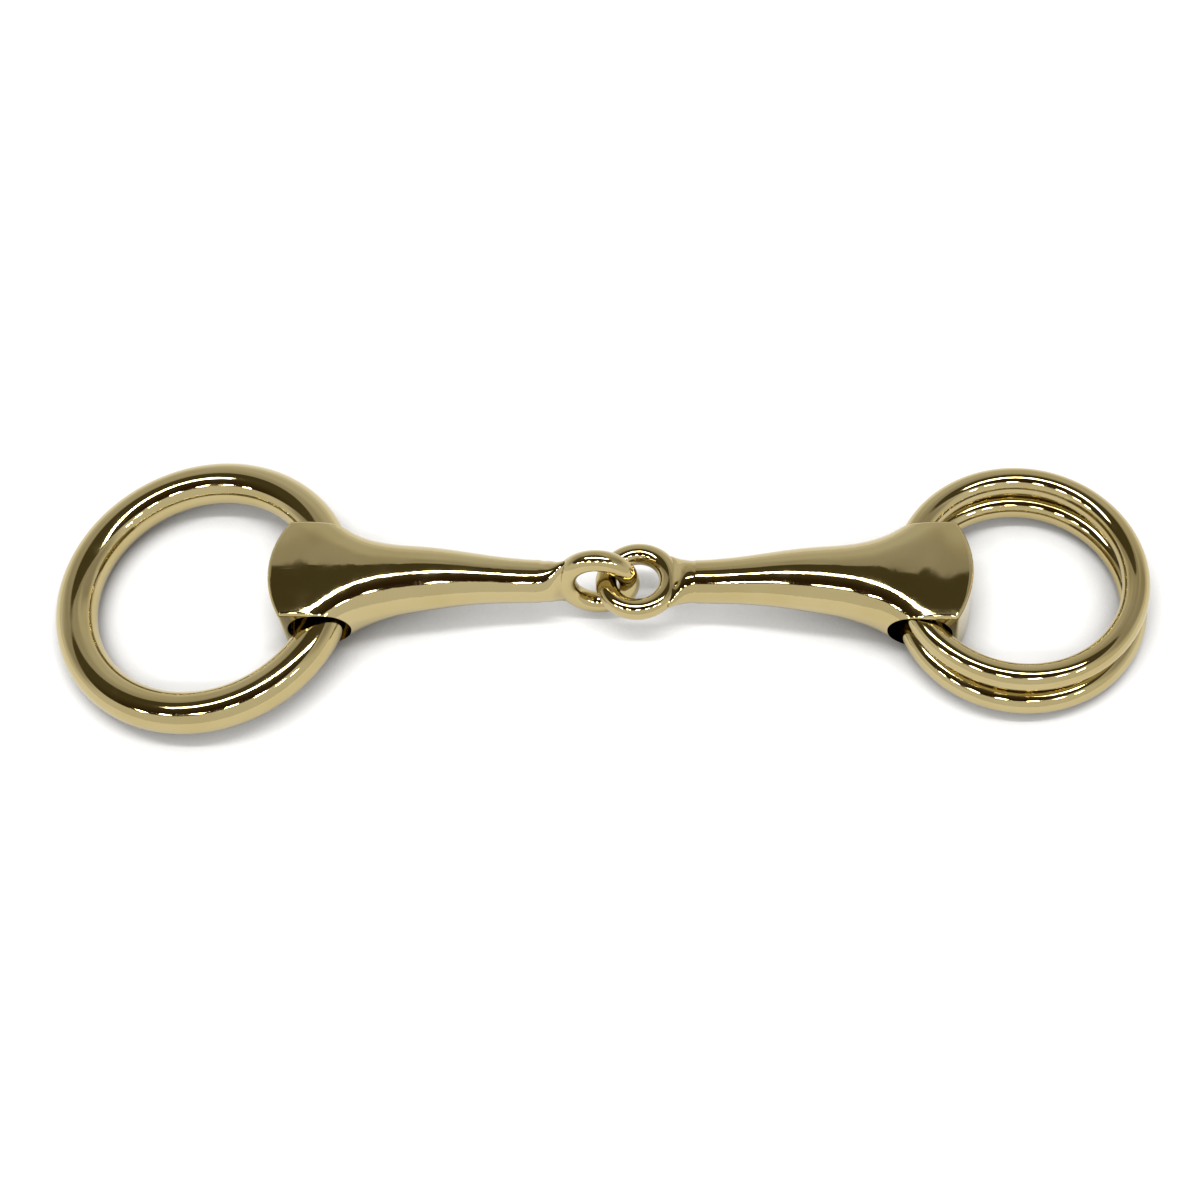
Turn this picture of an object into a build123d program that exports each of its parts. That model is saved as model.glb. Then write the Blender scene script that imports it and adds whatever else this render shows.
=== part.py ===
from build123d import *

import os
from math import asin, cos, degrees, hypot, pi, radians, sin, sqrt

# Jointed snaffle bit: two cast arms linked by eyes, one heavy ring and a pair of light rings.
#
# The bit lies flat, as it does on a table. X runs along the mouthpiece, Y across it, Z up. It is
# worked out about the middle of the mouthpiece, then placed with the origin on the ground under
# the middle of its whole length and width. Millimetres.

# ---- driving dimensions -------------------------------------------------------------------
MOUTH_WIDTH = 124.6          # outer end of one barrel to outer end of the other
LARGE_RING_D = 48.1          # centreline diameter of the heavy ring
LARGE_BAR_D = 7.6            # bar of the heavy ring
SMALL_RING_D = 39.7          # centreline diameter of each light ring
SMALL_BAR_D = 4.8            # bar of each light ring
STACK_GAP = 0.3              # light ring over light ring, as they lie

BARREL_LENGTH = 19.6         # barrel, mouth to mouth, along Y
BARREL_BOW = 2.8             # how far the outer end face stands out at its middle
BARREL_CORNER = 0.7          # plan radius where the end face meets a mouth
BORE_INSET = 9.2             # bore axis in from the middle of the outer end face
BORE_CLEARANCE = 0.15        # bar to bore, at the tightest place
BORE_WALL = 0.95             # metal over the middle of the bore
MOUTH_FLARE = 0.25           # rounding of the bore's mouths
RIM_RADIUS = 0.8             # softening of the barrel's sharp rims

NECK_D = 7.7                 # round neck of an arm, beside its eye
ARM_ARCH = 1.5               # rise of an arm's centreline between eye and barrel
ARCH_SHARE = 0.85            # share of the arm that the rise takes
ARCH_LEAN = 0.9              # under 1, the rise is nearer the eye
EYE_HOLE_D = 7.5             # hole of an eye
EYE_BAR_D = 3.8              # bar of an eye
EYE_GAP = 0.3                # slack between the two linked eyes, pulled straight
LEFT_EYE_TURN = 80.0         # left eye's plane, turned up from the ground about X
RIGHT_EYE_TURN = 0.0         # right eye lies flat
GROUND_GAP = 1.0             # steep eye, clear of the ground

# where each ring lies at rest: its bar's inset from the bore axis, and its shift along Y
LARGE_SET = -1.5
LARGE_SHIFT = -1.3
LOWER_SET = -2.2
LOWER_SHIFT = -0.6
UPPER_SET = -2.4
UPPER_SHIFT = 1.1

SIDE_POINTS = 24             # points round each cast section

# ---- worked out from them -----------------------------------------------------------------
LARGE_R = LARGE_RING_D / 2
SMALL_R = SMALL_RING_D / 2
LARGE_BAR_R = LARGE_BAR_D / 2
SMALL_BAR_R = SMALL_BAR_D / 2
STACK_PITCH = SMALL_BAR_D + STACK_GAP
HALF_BARREL = BARREL_LENGTH / 2
NARROW_Y = HALF_BARREL - MOUTH_FLARE
EYE_R = (EYE_HOLE_D + EYE_BAR_D) / 2
EYE_BAR_R = EYE_BAR_D / 2
NECK_R = NECK_D / 2
EYE_X = (EYE_HOLE_D - EYE_GAP) / 2
END_X = MOUTH_WIDTH / 2
BORE_X = END_X - BORE_INSET
NECK_X = EYE_X + EYE_R + EYE_BAR_R + NECK_R * 0.75


def reach(ring_r, bar_r, inset, shift, height, y):
    """Farthest that a lying ring's bar comes from the bore axis, at one place along Y.

    height is how far the ring's plane is from the bore axis.
    """
    depth = inset + sqrt(ring_r**2 - shift**2)
    farthest = 0
    for step in range(SIDE_POINTS):
        angle = 2 * pi * step / SIDE_POINTS
        across = depth - sqrt((ring_r + bar_r * cos(angle)) ** 2 - (y - shift) ** 2)
        farthest = max(farthest, hypot(across, height + bar_r * sin(angle)))
    return farthest


def widest_reach(y):
    """Farthest that any of the rings comes from its bore axis, at one place along Y."""
    return max(
        reach(LARGE_R, LARGE_BAR_R, LARGE_SET, LARGE_SHIFT, 0, y),
        reach(SMALL_R, SMALL_BAR_R, LOWER_SET, LOWER_SHIFT, STACK_PITCH / 2, y),
        reach(SMALL_R, SMALL_BAR_R, UPPER_SET, UPPER_SHIFT, STACK_PITCH / 2, y),
    )


MOUTH_R = max(widest_reach(-NARROW_Y), widest_reach(NARROW_Y)) + BORE_CLEARANCE
BELLY_R = max(widest_reach(0), widest_reach(LARGE_SHIFT), MOUTH_R) + BORE_CLEARANCE
HALF_THICK = BELLY_R + BORE_WALL
AXIS_Z = HALF_THICK
EYE_Z = max(AXIS_Z, EYE_R * sin(radians(LEFT_EYE_TURN)) + EYE_BAR_R + GROUND_GAP)


def ring_place(ring_r, bar_r, inset, shift, bar_z, lift):
    """Centre X and Z and downward slope of a ring whose far side lies on the ground.

    lift raises it off that place, square to its own plane.
    """
    depth = sqrt(ring_r**2 - shift**2)
    slope = asin((bar_z - bar_r) / (ring_r + depth))
    x = BORE_X + inset + depth * cos(slope) + lift * sin(slope)
    z = bar_z - depth * sin(slope) + lift * cos(slope)
    return x, z, slope


LARGE_PLACE = ring_place(LARGE_R, LARGE_BAR_R, LARGE_SET, LARGE_SHIFT, AXIS_Z, 0)
LOWER_Z = AXIS_Z - STACK_PITCH / 2
LOWER_PLACE = ring_place(SMALL_R, SMALL_BAR_R, LOWER_SET, LOWER_SHIFT, LOWER_Z, 0)
UPPER_PLACE = ring_place(SMALL_R, SMALL_BAR_R, UPPER_SET, UPPER_SHIFT, LOWER_Z, STACK_PITCH)
LEFT_END = LARGE_PLACE[0] + LARGE_R * cos(LARGE_PLACE[2]) + LARGE_BAR_R
RIGHT_END = max(LOWER_PLACE[0], UPPER_PLACE[0]) + SMALL_R * cos(LOWER_PLACE[2]) + SMALL_BAR_R
MIDDLE = ((LEFT_END - RIGHT_END) / 2, -LARGE_SHIFT, 0)


# ---- arms ---------------------------------------------------------------------------------
# A cast arm is drawn through cross sections: how far along it is from neck to barrel end, the
# half width, the half thickness and how square the section is. 2 is an ellipse.
def arm_stations():
    half_w = HALF_BARREL
    return [
        (0.060, NECK_R * 1.02, NECK_R * 1.02, 2.0),
        (0.160, NECK_R * 1.10, NECK_R * 1.09, 2.0),
        (0.300, NECK_R * 1.31, NECK_R * 1.26, 2.0),
        (0.430, NECK_R * 1.53, NECK_R * 1.41, 2.05),
        (0.540, half_w * 0.670, HALF_THICK * 0.84, 2.15),
        (0.620, half_w * 0.765, HALF_THICK * 0.90, 2.3),
        (0.690, half_w * 0.895, HALF_THICK * 0.955, 2.6),
        (0.750, half_w * 1.10, HALF_THICK * 0.985, 2.75),
        (0.820, half_w * 1.40, HALF_THICK, 2.85),
        (0.900, half_w * 1.52, HALF_THICK, 2.95),
        (1.020, half_w * 1.52, HALF_THICK * 0.985, 2.95),
    ]


def centreline_z(share):
    """Height of an arm's centreline: from the eye down to the barrel, with an arch between."""
    settled = min(share / ARCH_SHARE, 1)
    drop = (1 - settled) ** 2 * (1 + 2 * settled)
    return AXIS_Z + (EYE_Z - AXIS_Z) * drop + ARM_ARCH * sin(pi * settled**ARCH_LEAN) ** 2


def oval(half_width, half_height, squareness):
    """Points of a closed superellipse, from the +width side round to it again."""
    points = []
    for i in range(SIDE_POINTS):
        angle = 2 * pi * i / SIDE_POINTS
        c = cos(angle)
        s = sin(angle)
        u = half_width * abs(c) ** (2 / squareness) * (1 if c >= 0 else -1)
        v = half_height * abs(s) ** (2 / squareness) * (1 if s >= 0 else -1)
        points.append((u, v))
    return points


def section_plane(x, z, turn):
    """Plane square to X, its own x turned up from +Y."""
    return Plane(origin=(x, 0, z), x_dir=(0, cos(radians(turn)), sin(radians(turn))), z_dir=(1, 0, 0))


def cast_arm(eye_turn):
    """Right-hand arm: barrel outward, eye at the middle of the bit, its plane turned up."""
    run = END_X - NECK_X
    with BuildPart() as arm:
        # neck and fishtail, growing into the barrel
        with BuildSketch(section_plane(NECK_X, EYE_Z, 0)):
            Circle(NECK_R)
        for share, half_w, half_t, squareness in arm_stations():
            with BuildSketch(section_plane(NECK_X + share * run, centreline_z(share), 0)):
                with BuildLine():
                    Spline(*oval(half_w, half_t, squareness), periodic=True)
                make_face()
        loft()
        # barrel trimmed to its mouths and its bowed end face
        with BuildSketch(Plane.XY) as outline:
            with BuildLine():
                corner_x = END_X - BARREL_BOW
                Line((0, HALF_BARREL), (corner_x, HALF_BARREL))
                ThreePointArc((corner_x, HALF_BARREL), (END_X, 0), (corner_x, -HALF_BARREL))
                Line((corner_x, -HALF_BARREL), (0, -HALF_BARREL))
                Line((0, -HALF_BARREL), (0, HALF_BARREL))
            make_face()
            fillet(outline.vertices().group_by(Axis.X)[-1], BARREL_CORNER)
        extrude(amount=2 * AXIS_Z + ARM_ARCH, mode=Mode.INTERSECT)
        end_face = arm.faces().filter_by(GeomType.CYLINDER).sort_by(Axis.X)[-1]
        fillet(end_face.edges().filter_by(GeomType.BSPLINE), RIM_RADIUS)
        # neck drawn out flat to the eye
        with BuildSketch(section_plane(NECK_X, EYE_Z, eye_turn)):
            Circle(NECK_R)
        web = [
            (EYE_R + EYE_BAR_R + NECK_R * 0.30, NECK_R * 1.03, NECK_R * 0.90),
            (EYE_R + EYE_BAR_R, NECK_R * 1.13, NECK_R * 0.74),
            (EYE_R + EYE_BAR_R * 0.45, EYE_R * 0.86, EYE_BAR_R * 1.04),
            (EYE_R, EYE_R * 0.93, EYE_BAR_R * 0.90),
        ]
        for out, half_w, half_t in web:
            with BuildSketch(section_plane(EYE_X + out, EYE_Z, eye_turn)):
                with BuildLine():
                    Spline(*oval(half_w, half_t, 2.0), periodic=True)
                make_face()
        loft()
        # eye
        with Locations(Location((EYE_X, 0, EYE_Z), (eye_turn, 0, 0))):
            Torus(EYE_R, EYE_BAR_R)
        # bore, bellied inside and rounded at its mouths
        wide_r = MOUTH_R + MOUTH_FLARE
        lip = MOUTH_FLARE * sqrt(0.5)
        with BuildSketch(Plane(origin=(BORE_X, 0, AXIS_Z))):
            with BuildLine():
                Polyline((wide_r, HALF_BARREL), (wide_r, BARREL_LENGTH), (0, BARREL_LENGTH),
                         (0, -BARREL_LENGTH), (wide_r, -BARREL_LENGTH), (wide_r, -HALF_BARREL))
                ThreePointArc((wide_r, -HALF_BARREL), (wide_r - lip, -NARROW_Y - lip), (MOUTH_R, -NARROW_Y))
                ThreePointArc((MOUTH_R, -NARROW_Y), (BELLY_R, 0), (MOUTH_R, NARROW_Y))
                ThreePointArc((MOUTH_R, NARROW_Y), (wide_r - lip, NARROW_Y + lip), (wide_r, HALF_BARREL))
            make_face()
        revolve(axis=Axis((BORE_X, 0, AXIS_Z), (0, 1, 0)), mode=Mode.SUBTRACT)
    return arm


with BuildPart() as right_arm:
    with Locations(MIDDLE):
        add(cast_arm(RIGHT_EYE_TURN).part)
right_arm.part.label = "right_arm"

with BuildPart() as left_arm:
    with Locations(MIDDLE):
        add(cast_arm(-LEFT_EYE_TURN).part, rotation=(0, 0, 180))
left_arm.part.label = "left_arm"


# ---- rings --------------------------------------------------------------------------------
def bent_ring(side, ring_r, bar_r, shift, place):
    """Round bar bent and closed to a ring, lying at its place on one side of the bit."""
    x, z, slope = place
    centre = (MIDDLE[0] + side * x, MIDDLE[1] + shift, z)
    with BuildPart() as ring:
        with Locations(Location(centre, (0, side * degrees(slope), 0))):
            Torus(ring_r, bar_r)
    return ring


large_ring = bent_ring(-1, LARGE_R, LARGE_BAR_R, LARGE_SHIFT, LARGE_PLACE)
large_ring.part.label = "large_ring"
lower_ring = bent_ring(1, SMALL_R, SMALL_BAR_R, LOWER_SHIFT, LOWER_PLACE)
lower_ring.part.label = "lower_ring"
upper_ring = bent_ring(1, SMALL_R, SMALL_BAR_R, UPPER_SHIFT, UPPER_PLACE)
upper_ring.part.label = "upper_ring"

os.makedirs("parts", exist_ok=True)
export_step(left_arm.part, "parts/left_arm.step")
export_step(right_arm.part, "parts/right_arm.step")
export_step(large_ring.part, "parts/large_ring.step")
export_step(lower_ring.part, "parts/lower_ring.step")
export_step(upper_ring.part, "parts/upper_ring.step")

print(f"bore mouth radius {MOUTH_R:.3f}, belly {BELLY_R:.3f}, barrel half thickness {HALF_THICK:.3f}")
print(f"left bore axis at x {MIDDLE[0] - BORE_X:.3f}, right {MIDDLE[0] + BORE_X:.3f}, z {AXIS_Z:.3f}")
print(f"eyes at x {MIDDLE[0] - EYE_X:.3f} and {MIDDLE[0] + EYE_X:.3f}, y {MIDDLE[1]:.3f}, z {EYE_Z:.3f}")
print(f"ring places: large {LARGE_PLACE}, lower {LOWER_PLACE}, upper {UPPER_PLACE}, middle {MIDDLE}")
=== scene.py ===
import math

import bpy
import numpy as np
from mathutils import Matrix, Vector


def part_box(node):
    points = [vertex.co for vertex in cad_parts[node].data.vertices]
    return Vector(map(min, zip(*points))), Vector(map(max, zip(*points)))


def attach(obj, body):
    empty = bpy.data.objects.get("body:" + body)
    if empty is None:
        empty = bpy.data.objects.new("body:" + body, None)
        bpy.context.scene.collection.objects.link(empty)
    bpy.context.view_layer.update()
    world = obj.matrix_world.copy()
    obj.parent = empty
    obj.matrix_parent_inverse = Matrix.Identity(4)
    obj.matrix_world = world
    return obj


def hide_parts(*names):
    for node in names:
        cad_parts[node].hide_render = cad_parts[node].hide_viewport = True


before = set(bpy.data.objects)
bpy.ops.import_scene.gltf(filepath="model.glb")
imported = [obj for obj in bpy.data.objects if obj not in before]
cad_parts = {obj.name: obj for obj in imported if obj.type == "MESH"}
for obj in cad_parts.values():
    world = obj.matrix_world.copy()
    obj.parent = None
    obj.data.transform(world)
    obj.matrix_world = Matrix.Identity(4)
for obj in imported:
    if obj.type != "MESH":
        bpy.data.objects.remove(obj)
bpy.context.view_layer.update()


# ---- Rings ----------------------------------------------------------------------------------
# A heavy ring runs through one barrel and a stacked pair of light rings through the other. Each
# is round brass bar, bent, brazed closed, buffed bright and plated pale gold.
class Socket:
    """A node socket that adds Math nodes to its own tree when it is used in an expression."""

    def __init__(self, tree, socket):
        self.tree = tree
        self.socket = socket

    def math(self, operation, *values):
        return self.tree.node("ShaderNodeMath", {"operation": operation}, dict(enumerate(values)))

    def __add__(self, other):
        return self.math("ADD", self, other)

    __radd__ = __add__

    def __sub__(self, other):
        return self.math("SUBTRACT", self, other)

    def __rsub__(self, other):
        return self.math("SUBTRACT", other, self)

    def __mul__(self, other):
        return self.math("MULTIPLY", self, other)

    __rmul__ = __mul__

    def rise(self, low, high):
        """0 below low, 1 above high, and a smooth rise between."""
        return self.tree.node(
            "ShaderNodeMapRange",
            {"interpolation_type": "SMOOTHSTEP"},
            {"Value": self, "From Min": low, "From Max": high},
        )


class Tree:
    """A node tree that makes a node from its type, its settings and its sockets' values."""

    def __init__(self, owner):
        owner.use_nodes = True
        self.nodes = owner.node_tree.nodes
        self.links = owner.node_tree.links
        self.nodes.clear()

    def node(self, kind, settings=None, sockets=None, out=0):
        made = self.nodes.new(kind)
        for name, value in (settings or {}).items():
            setattr(made, name, value)
        for name, value in (sockets or {}).items():
            if isinstance(value, Socket):
                self.links.new(value.socket, made.inputs[name])
            else:
                made.inputs[name].default_value = value
        return Socket(self, made.outputs[out]) if made.outputs else made

    def noise(self, place, scale, detail):
        """Cloudy noise with scale cells to the unit of place."""
        sockets = {"Vector": place, "Scale": scale, "Detail": detail}
        return self.node("ShaderNodeTexNoise", {}, sockets)

    def mix(self, share, low, high):
        """Colour low where share is 0, high where it is 1, and a blend between."""
        colours = {0: share, 6: low, 7: high}
        return self.node("ShaderNodeMix", {"data_type": "RGBA"}, colours, out=2)


FRESH_GOLD = (0.465, 0.385, 0.195, 1)
WORN_GOLD = (0.435, 0.35, 0.16, 1)
POLISH = 0.05                # roughness of the clean plate
HAZE = 0.05                  # what a hazy patch adds to it
HAIRLINE = 0.04              # what a hairline scratch adds
RIPPLE_DEPTH = 0.00008       # metres between the low and high of the buffing's ripple
HAIRLINE_CUT = -0.02         # a hairline's depth, as a share of the ripple's


def pale_gold(name, grain, seed):
    """Buffed plate, its hairlines drawn out along the axis that grain squeezes."""
    material = bpy.data.materials.new(name)
    tree = Tree(material)
    place = tree.node("ShaderNodeTexCoord", out="Object")
    moved = tree.node("ShaderNodeMapping", {}, {"Vector": place, "Location": (seed, seed, seed)})
    drawn = tree.node("ShaderNodeMapping", {}, {"Vector": moved, "Scale": grain})

    ripple = tree.noise(moved, 150.0, 1.0)
    hazy = tree.noise(moved, 210.0, 4.0).rise(0.48, 0.72)
    hairline = tree.noise(drawn, 5200.0, 2.0).rise(0.62, 0.74)
    worn = tree.noise(moved, 60.0, 3.0).rise(0.35, 0.7)

    height = ripple + hairline * HAIRLINE_CUT
    bump = tree.node(
        "ShaderNodeBump", {}, {"Strength": 0.15, "Distance": RIPPLE_DEPTH, "Height": height}
    )
    shader = tree.node(
        "ShaderNodeBsdfPrincipled",
        {},
        {
            "Base Color": tree.mix(worn, FRESH_GOLD, WORN_GOLD),
            "Metallic": 1.0,
            "Roughness": POLISH + hazy * HAZE + hairline * HAIRLINE,
            "Normal": bump,
        },
    )
    tree.node("ShaderNodeOutputMaterial", {}, {"Surface": shader})
    return material


def grid_mesh(name, points):
    """Mesh of a closed grid: points[i, j] joined to its neighbours, both ways round."""
    rows, columns = points.shape[:2]
    index = np.arange(rows * columns).reshape(rows, columns)
    right = np.roll(index, -1, axis=1)
    faces = np.stack(
        [index, np.roll(index, -1, axis=0), np.roll(right, -1, axis=0), right], axis=-1
    )
    mesh = bpy.data.meshes.new(name)
    mesh.from_pydata(points.reshape(-1, 3), [], faces.reshape(-1, 4))
    mesh.shade_smooth()
    return mesh


BENT_ROUND = 640             # facets round a ring
BAR_ROUND = 96               # facets round its bar


def bent_bar(node):
    """Surface of a round bar bent to a ring, fitted to the construction's own ring.

    A point has one angle round the ring and one round the bar. It lies out from the ring's
    centre, towards the first angle, by the ring's radius plus the bar's radius times the cosine
    of the second, and up the ring's axis by the bar's radius times the sine of the second. The
    axis is the direction in which the ring's corners spread least, and the two radii come from
    how far those corners reach along the axis and from it.
    """
    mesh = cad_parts[node].data
    flat = np.empty(len(mesh.vertices) * 3)
    mesh.vertices.foreach_get("co", flat)
    corners = np.unique(flat.reshape(-1, 3).round(7), axis=0)
    low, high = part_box(node)
    centre = (np.array(low) + np.array(high)) / 2
    spokes = corners - centre
    _, _, (along, _, axis) = np.linalg.svd(spokes, full_matrices=False)
    if axis[2] < 0:
        axis = -axis
    across = np.cross(axis, along)
    height = spokes @ axis
    reach = np.hypot(spokes @ along, spokes @ across)
    bar_radius = (height.max() - height.min()) / 2
    ring_radius = reach.max() - bar_radius

    round_ring = np.linspace(0, 2 * math.pi, BENT_ROUND, endpoint=False)[:, None, None]
    round_bar = np.linspace(0, 2 * math.pi, BAR_ROUND, endpoint=False)[None, :, None]
    outward = np.cos(round_ring) * along + np.sin(round_ring) * across
    far = ring_radius + bar_radius * np.cos(round_bar)
    return centre + far * outward + bar_radius * np.sin(round_bar) * axis


bar_gold = pale_gold("bar_gold", (1, 1, 1), 0.37)
for node in ("large_ring", "lower_ring", "upper_ring"):
    ring = bpy.data.objects.new("bent_" + node, grid_mesh("bent_" + node, bent_bar(node)))
    bpy.context.scene.collection.objects.link(ring)
    ring.data.materials.append(bar_gold)
    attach(ring, node)
    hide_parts(node)

# ---- Arms -----------------------------------------------------------------------------------
# Two brass castings, each from a barrel with a cored bore down a fishtail to a round neck and
# an eye. They are fettled, buffed along their length and plated with the rings.
cast_gold = pale_gold("cast_gold", (0.05, 1, 1), 0.13)
for node in ("left_arm", "right_arm"):
    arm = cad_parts[node]
    arm.data.materials.clear()
    arm.data.materials.append(cast_gold)

# ---- Table ----------------------------------------------------------------------------------
# A plain white table top, white to the camera and in the metal. Under and close beside the bit,
# where little of the room reaches it, a soft grey painted shadow darkens its colour and glow.
TABLE_HALF = 1.5
PAINTED_SHADOW_REACH = 0.010          # how near the bit the painted shadow darkens the table
TABLE_WHITE = (0.52, 0.52, 0.52, 1)
# grey of the painted shadow, mixed into the table's colour near the bit
PAINTED_SHADOW_GREY = (0.20, 0.195, 0.19, 1)
TABLE_GLOW = 0.36

table_mesh = bpy.data.meshes.new("table")
table_mesh.from_pydata(
    [(x * TABLE_HALF, y * TABLE_HALF, 0) for x, y in ((-1, -1), (1, -1), (1, 1), (-1, 1))],
    [],
    [(0, 1, 2, 3)],
)
table = bpy.data.objects.new("table", table_mesh)
bpy.context.scene.collection.objects.link(table)
white = bpy.data.materials.new("white_table")
tree = Tree(white)
rays = sum(
    tree.node("ShaderNodeLightPath", out=f"Is {ray} Ray")
    for ray in ("Camera", "Glossy", "Transmission")
)
nearness = tree.node(
    "ShaderNodeAmbientOcclusion", {"samples": 8}, {"Distance": PAINTED_SHADOW_REACH}, out="AO"
)
# painted shadow: the table's colour and glow darken where ambient occlusion finds the bit near
clear_of_painted_shadow = nearness.rise(0.1, 0.95)
matt = tree.node(
    "ShaderNodeBsdfDiffuse", {}, {"Color": tree.mix(clear_of_painted_shadow, PAINTED_SHADOW_GREY, TABLE_WHITE)}
)
glow = tree.node("ShaderNodeEmission", {}, {"Strength": rays * clear_of_painted_shadow * TABLE_GLOW})
both = tree.node("ShaderNodeAddShader", {}, {0: matt, 1: glow})
tree.node("ShaderNodeOutputMaterial", {}, {"Surface": both})
table_mesh.materials.append(white)

# ---- Studio ---------------------------------------------------------------------------------
# A room that is white low down and in front, greyer higher up, and dark overhead, with lamps
# there that draw the highlights.
CEILING_MIDDLE = (-0.13, -0.09)   # where the dark ceiling is centred, as a direction's x and y
CEILING_REACH = (0.74, 0.60)      # how far it spreads from there
CEILING_FRONT = (0.035, 0.015, 0.004, 1)
CEILING_BACK = (0.105, 0.09, 0.045, 1)
WALL_DULL = (0.50, 0.48, 0.45, 1)
WALL_PALE = (0.82, 0.81, 0.79, 1)
WHITE = (1, 1, 1, 1)

world = bpy.data.worlds.new("studio")
bpy.context.scene.world = world
tree = Tree(world)
direction = tree.node("ShaderNodeTexCoord", out="Generated")
x, y, z = (tree.node("ShaderNodeSeparateXYZ", {}, {"Vector": direction}, out=axis) for axis in "XYZ")
aside = (x - CEILING_MIDDLE[0]) * (1 / CEILING_REACH[0])
away = (y - CEILING_MIDDLE[1]) * (1 / CEILING_REACH[1])
overhead = (1 - (aside * aside + away * away)).rise(-0.02, 0.02) * z.rise(0, 0.1)
high_and_back = z.rise(0.12, 0.4) * (1 - (0 - y).rise(0.0, 0.4))
walls = tree.mix(tree.noise(direction, 1.7, 1.5).rise(0.35, 0.65), WALL_DULL, WALL_PALE)
sides = tree.mix(1 - high_and_back, walls, WHITE)
ceiling = tree.mix(y.rise(-0.6, 0.15), CEILING_FRONT, CEILING_BACK)
room = tree.mix(overhead, sides, ceiling)
background = tree.node("ShaderNodeBackground", {}, {"Color": room, "Strength": 1.0})
tree.node("ShaderNodeOutputWorld", {}, {"Surface": background})


def lamp(name, place, size, power):
    """Rectangular soft lamp that faces the bit."""
    data = bpy.data.lights.new(name, "AREA")
    data.shape = "RECTANGLE"
    data.size, data.size_y = size
    data.energy = power
    made = bpy.data.objects.new(name, data)
    bpy.context.scene.collection.objects.link(made)
    made.location = place
    made.rotation_euler = (-Vector(place)).to_track_quat("-Z", "Y").to_euler()


lamp("overhead_strip", (0.0, 0.02, 1.4), (1.5, 0.13), 21)
DOWNLIGHTS = 7
DOWNLIGHT_PITCH = 0.42
for turn in range(DOWNLIGHTS):
    along_row = (turn - (DOWNLIGHTS - 1) / 2) * DOWNLIGHT_PITCH
    lamp(f"downlight_{turn}", (along_row, -0.90, 1.12), (0.17, 0.045), 2.2)

# ---- Camera ---------------------------------------------------------------------------------
# It looks down at about 60 degrees, turned and tipped a little, as a hand-held camera is.
CAMERA_PLACE = (0.0438, -0.2059, 0.36275)
CAMERA_DOWN = math.radians(59.63)
CAMERA_YAW = math.radians(-11.55)
CAMERA_ROLL = math.radians(-9.81)
CAMERA_LENS = 69.64               # millimetres, on a sensor 36 wide

level = Vector((math.cos(CAMERA_YAW), -math.sin(CAMERA_YAW), 0))
ahead = Vector((math.sin(CAMERA_YAW), math.cos(CAMERA_YAW), 0))
forward = ahead * math.cos(CAMERA_DOWN) - Vector((0, 0, math.sin(CAMERA_DOWN)))
upright = level.cross(forward)
right = level * math.cos(CAMERA_ROLL) + upright * math.sin(CAMERA_ROLL)
top = -level * math.sin(CAMERA_ROLL) + upright * math.cos(CAMERA_ROLL)
camera_data = bpy.data.cameras.new("camera")
camera_data.sensor_width = 36
camera_data.lens = CAMERA_LENS
camera_data.clip_start = 0.01
camera = bpy.data.objects.new("camera", camera_data)
bpy.context.scene.collection.objects.link(camera)
turned = Matrix((right, top, -forward)).transposed().to_4x4()
camera.matrix_world = Matrix.Translation(CAMERA_PLACE) @ turned
bpy.context.scene.camera = camera
bpy.context.scene.view_settings.view_transform = "Standard"
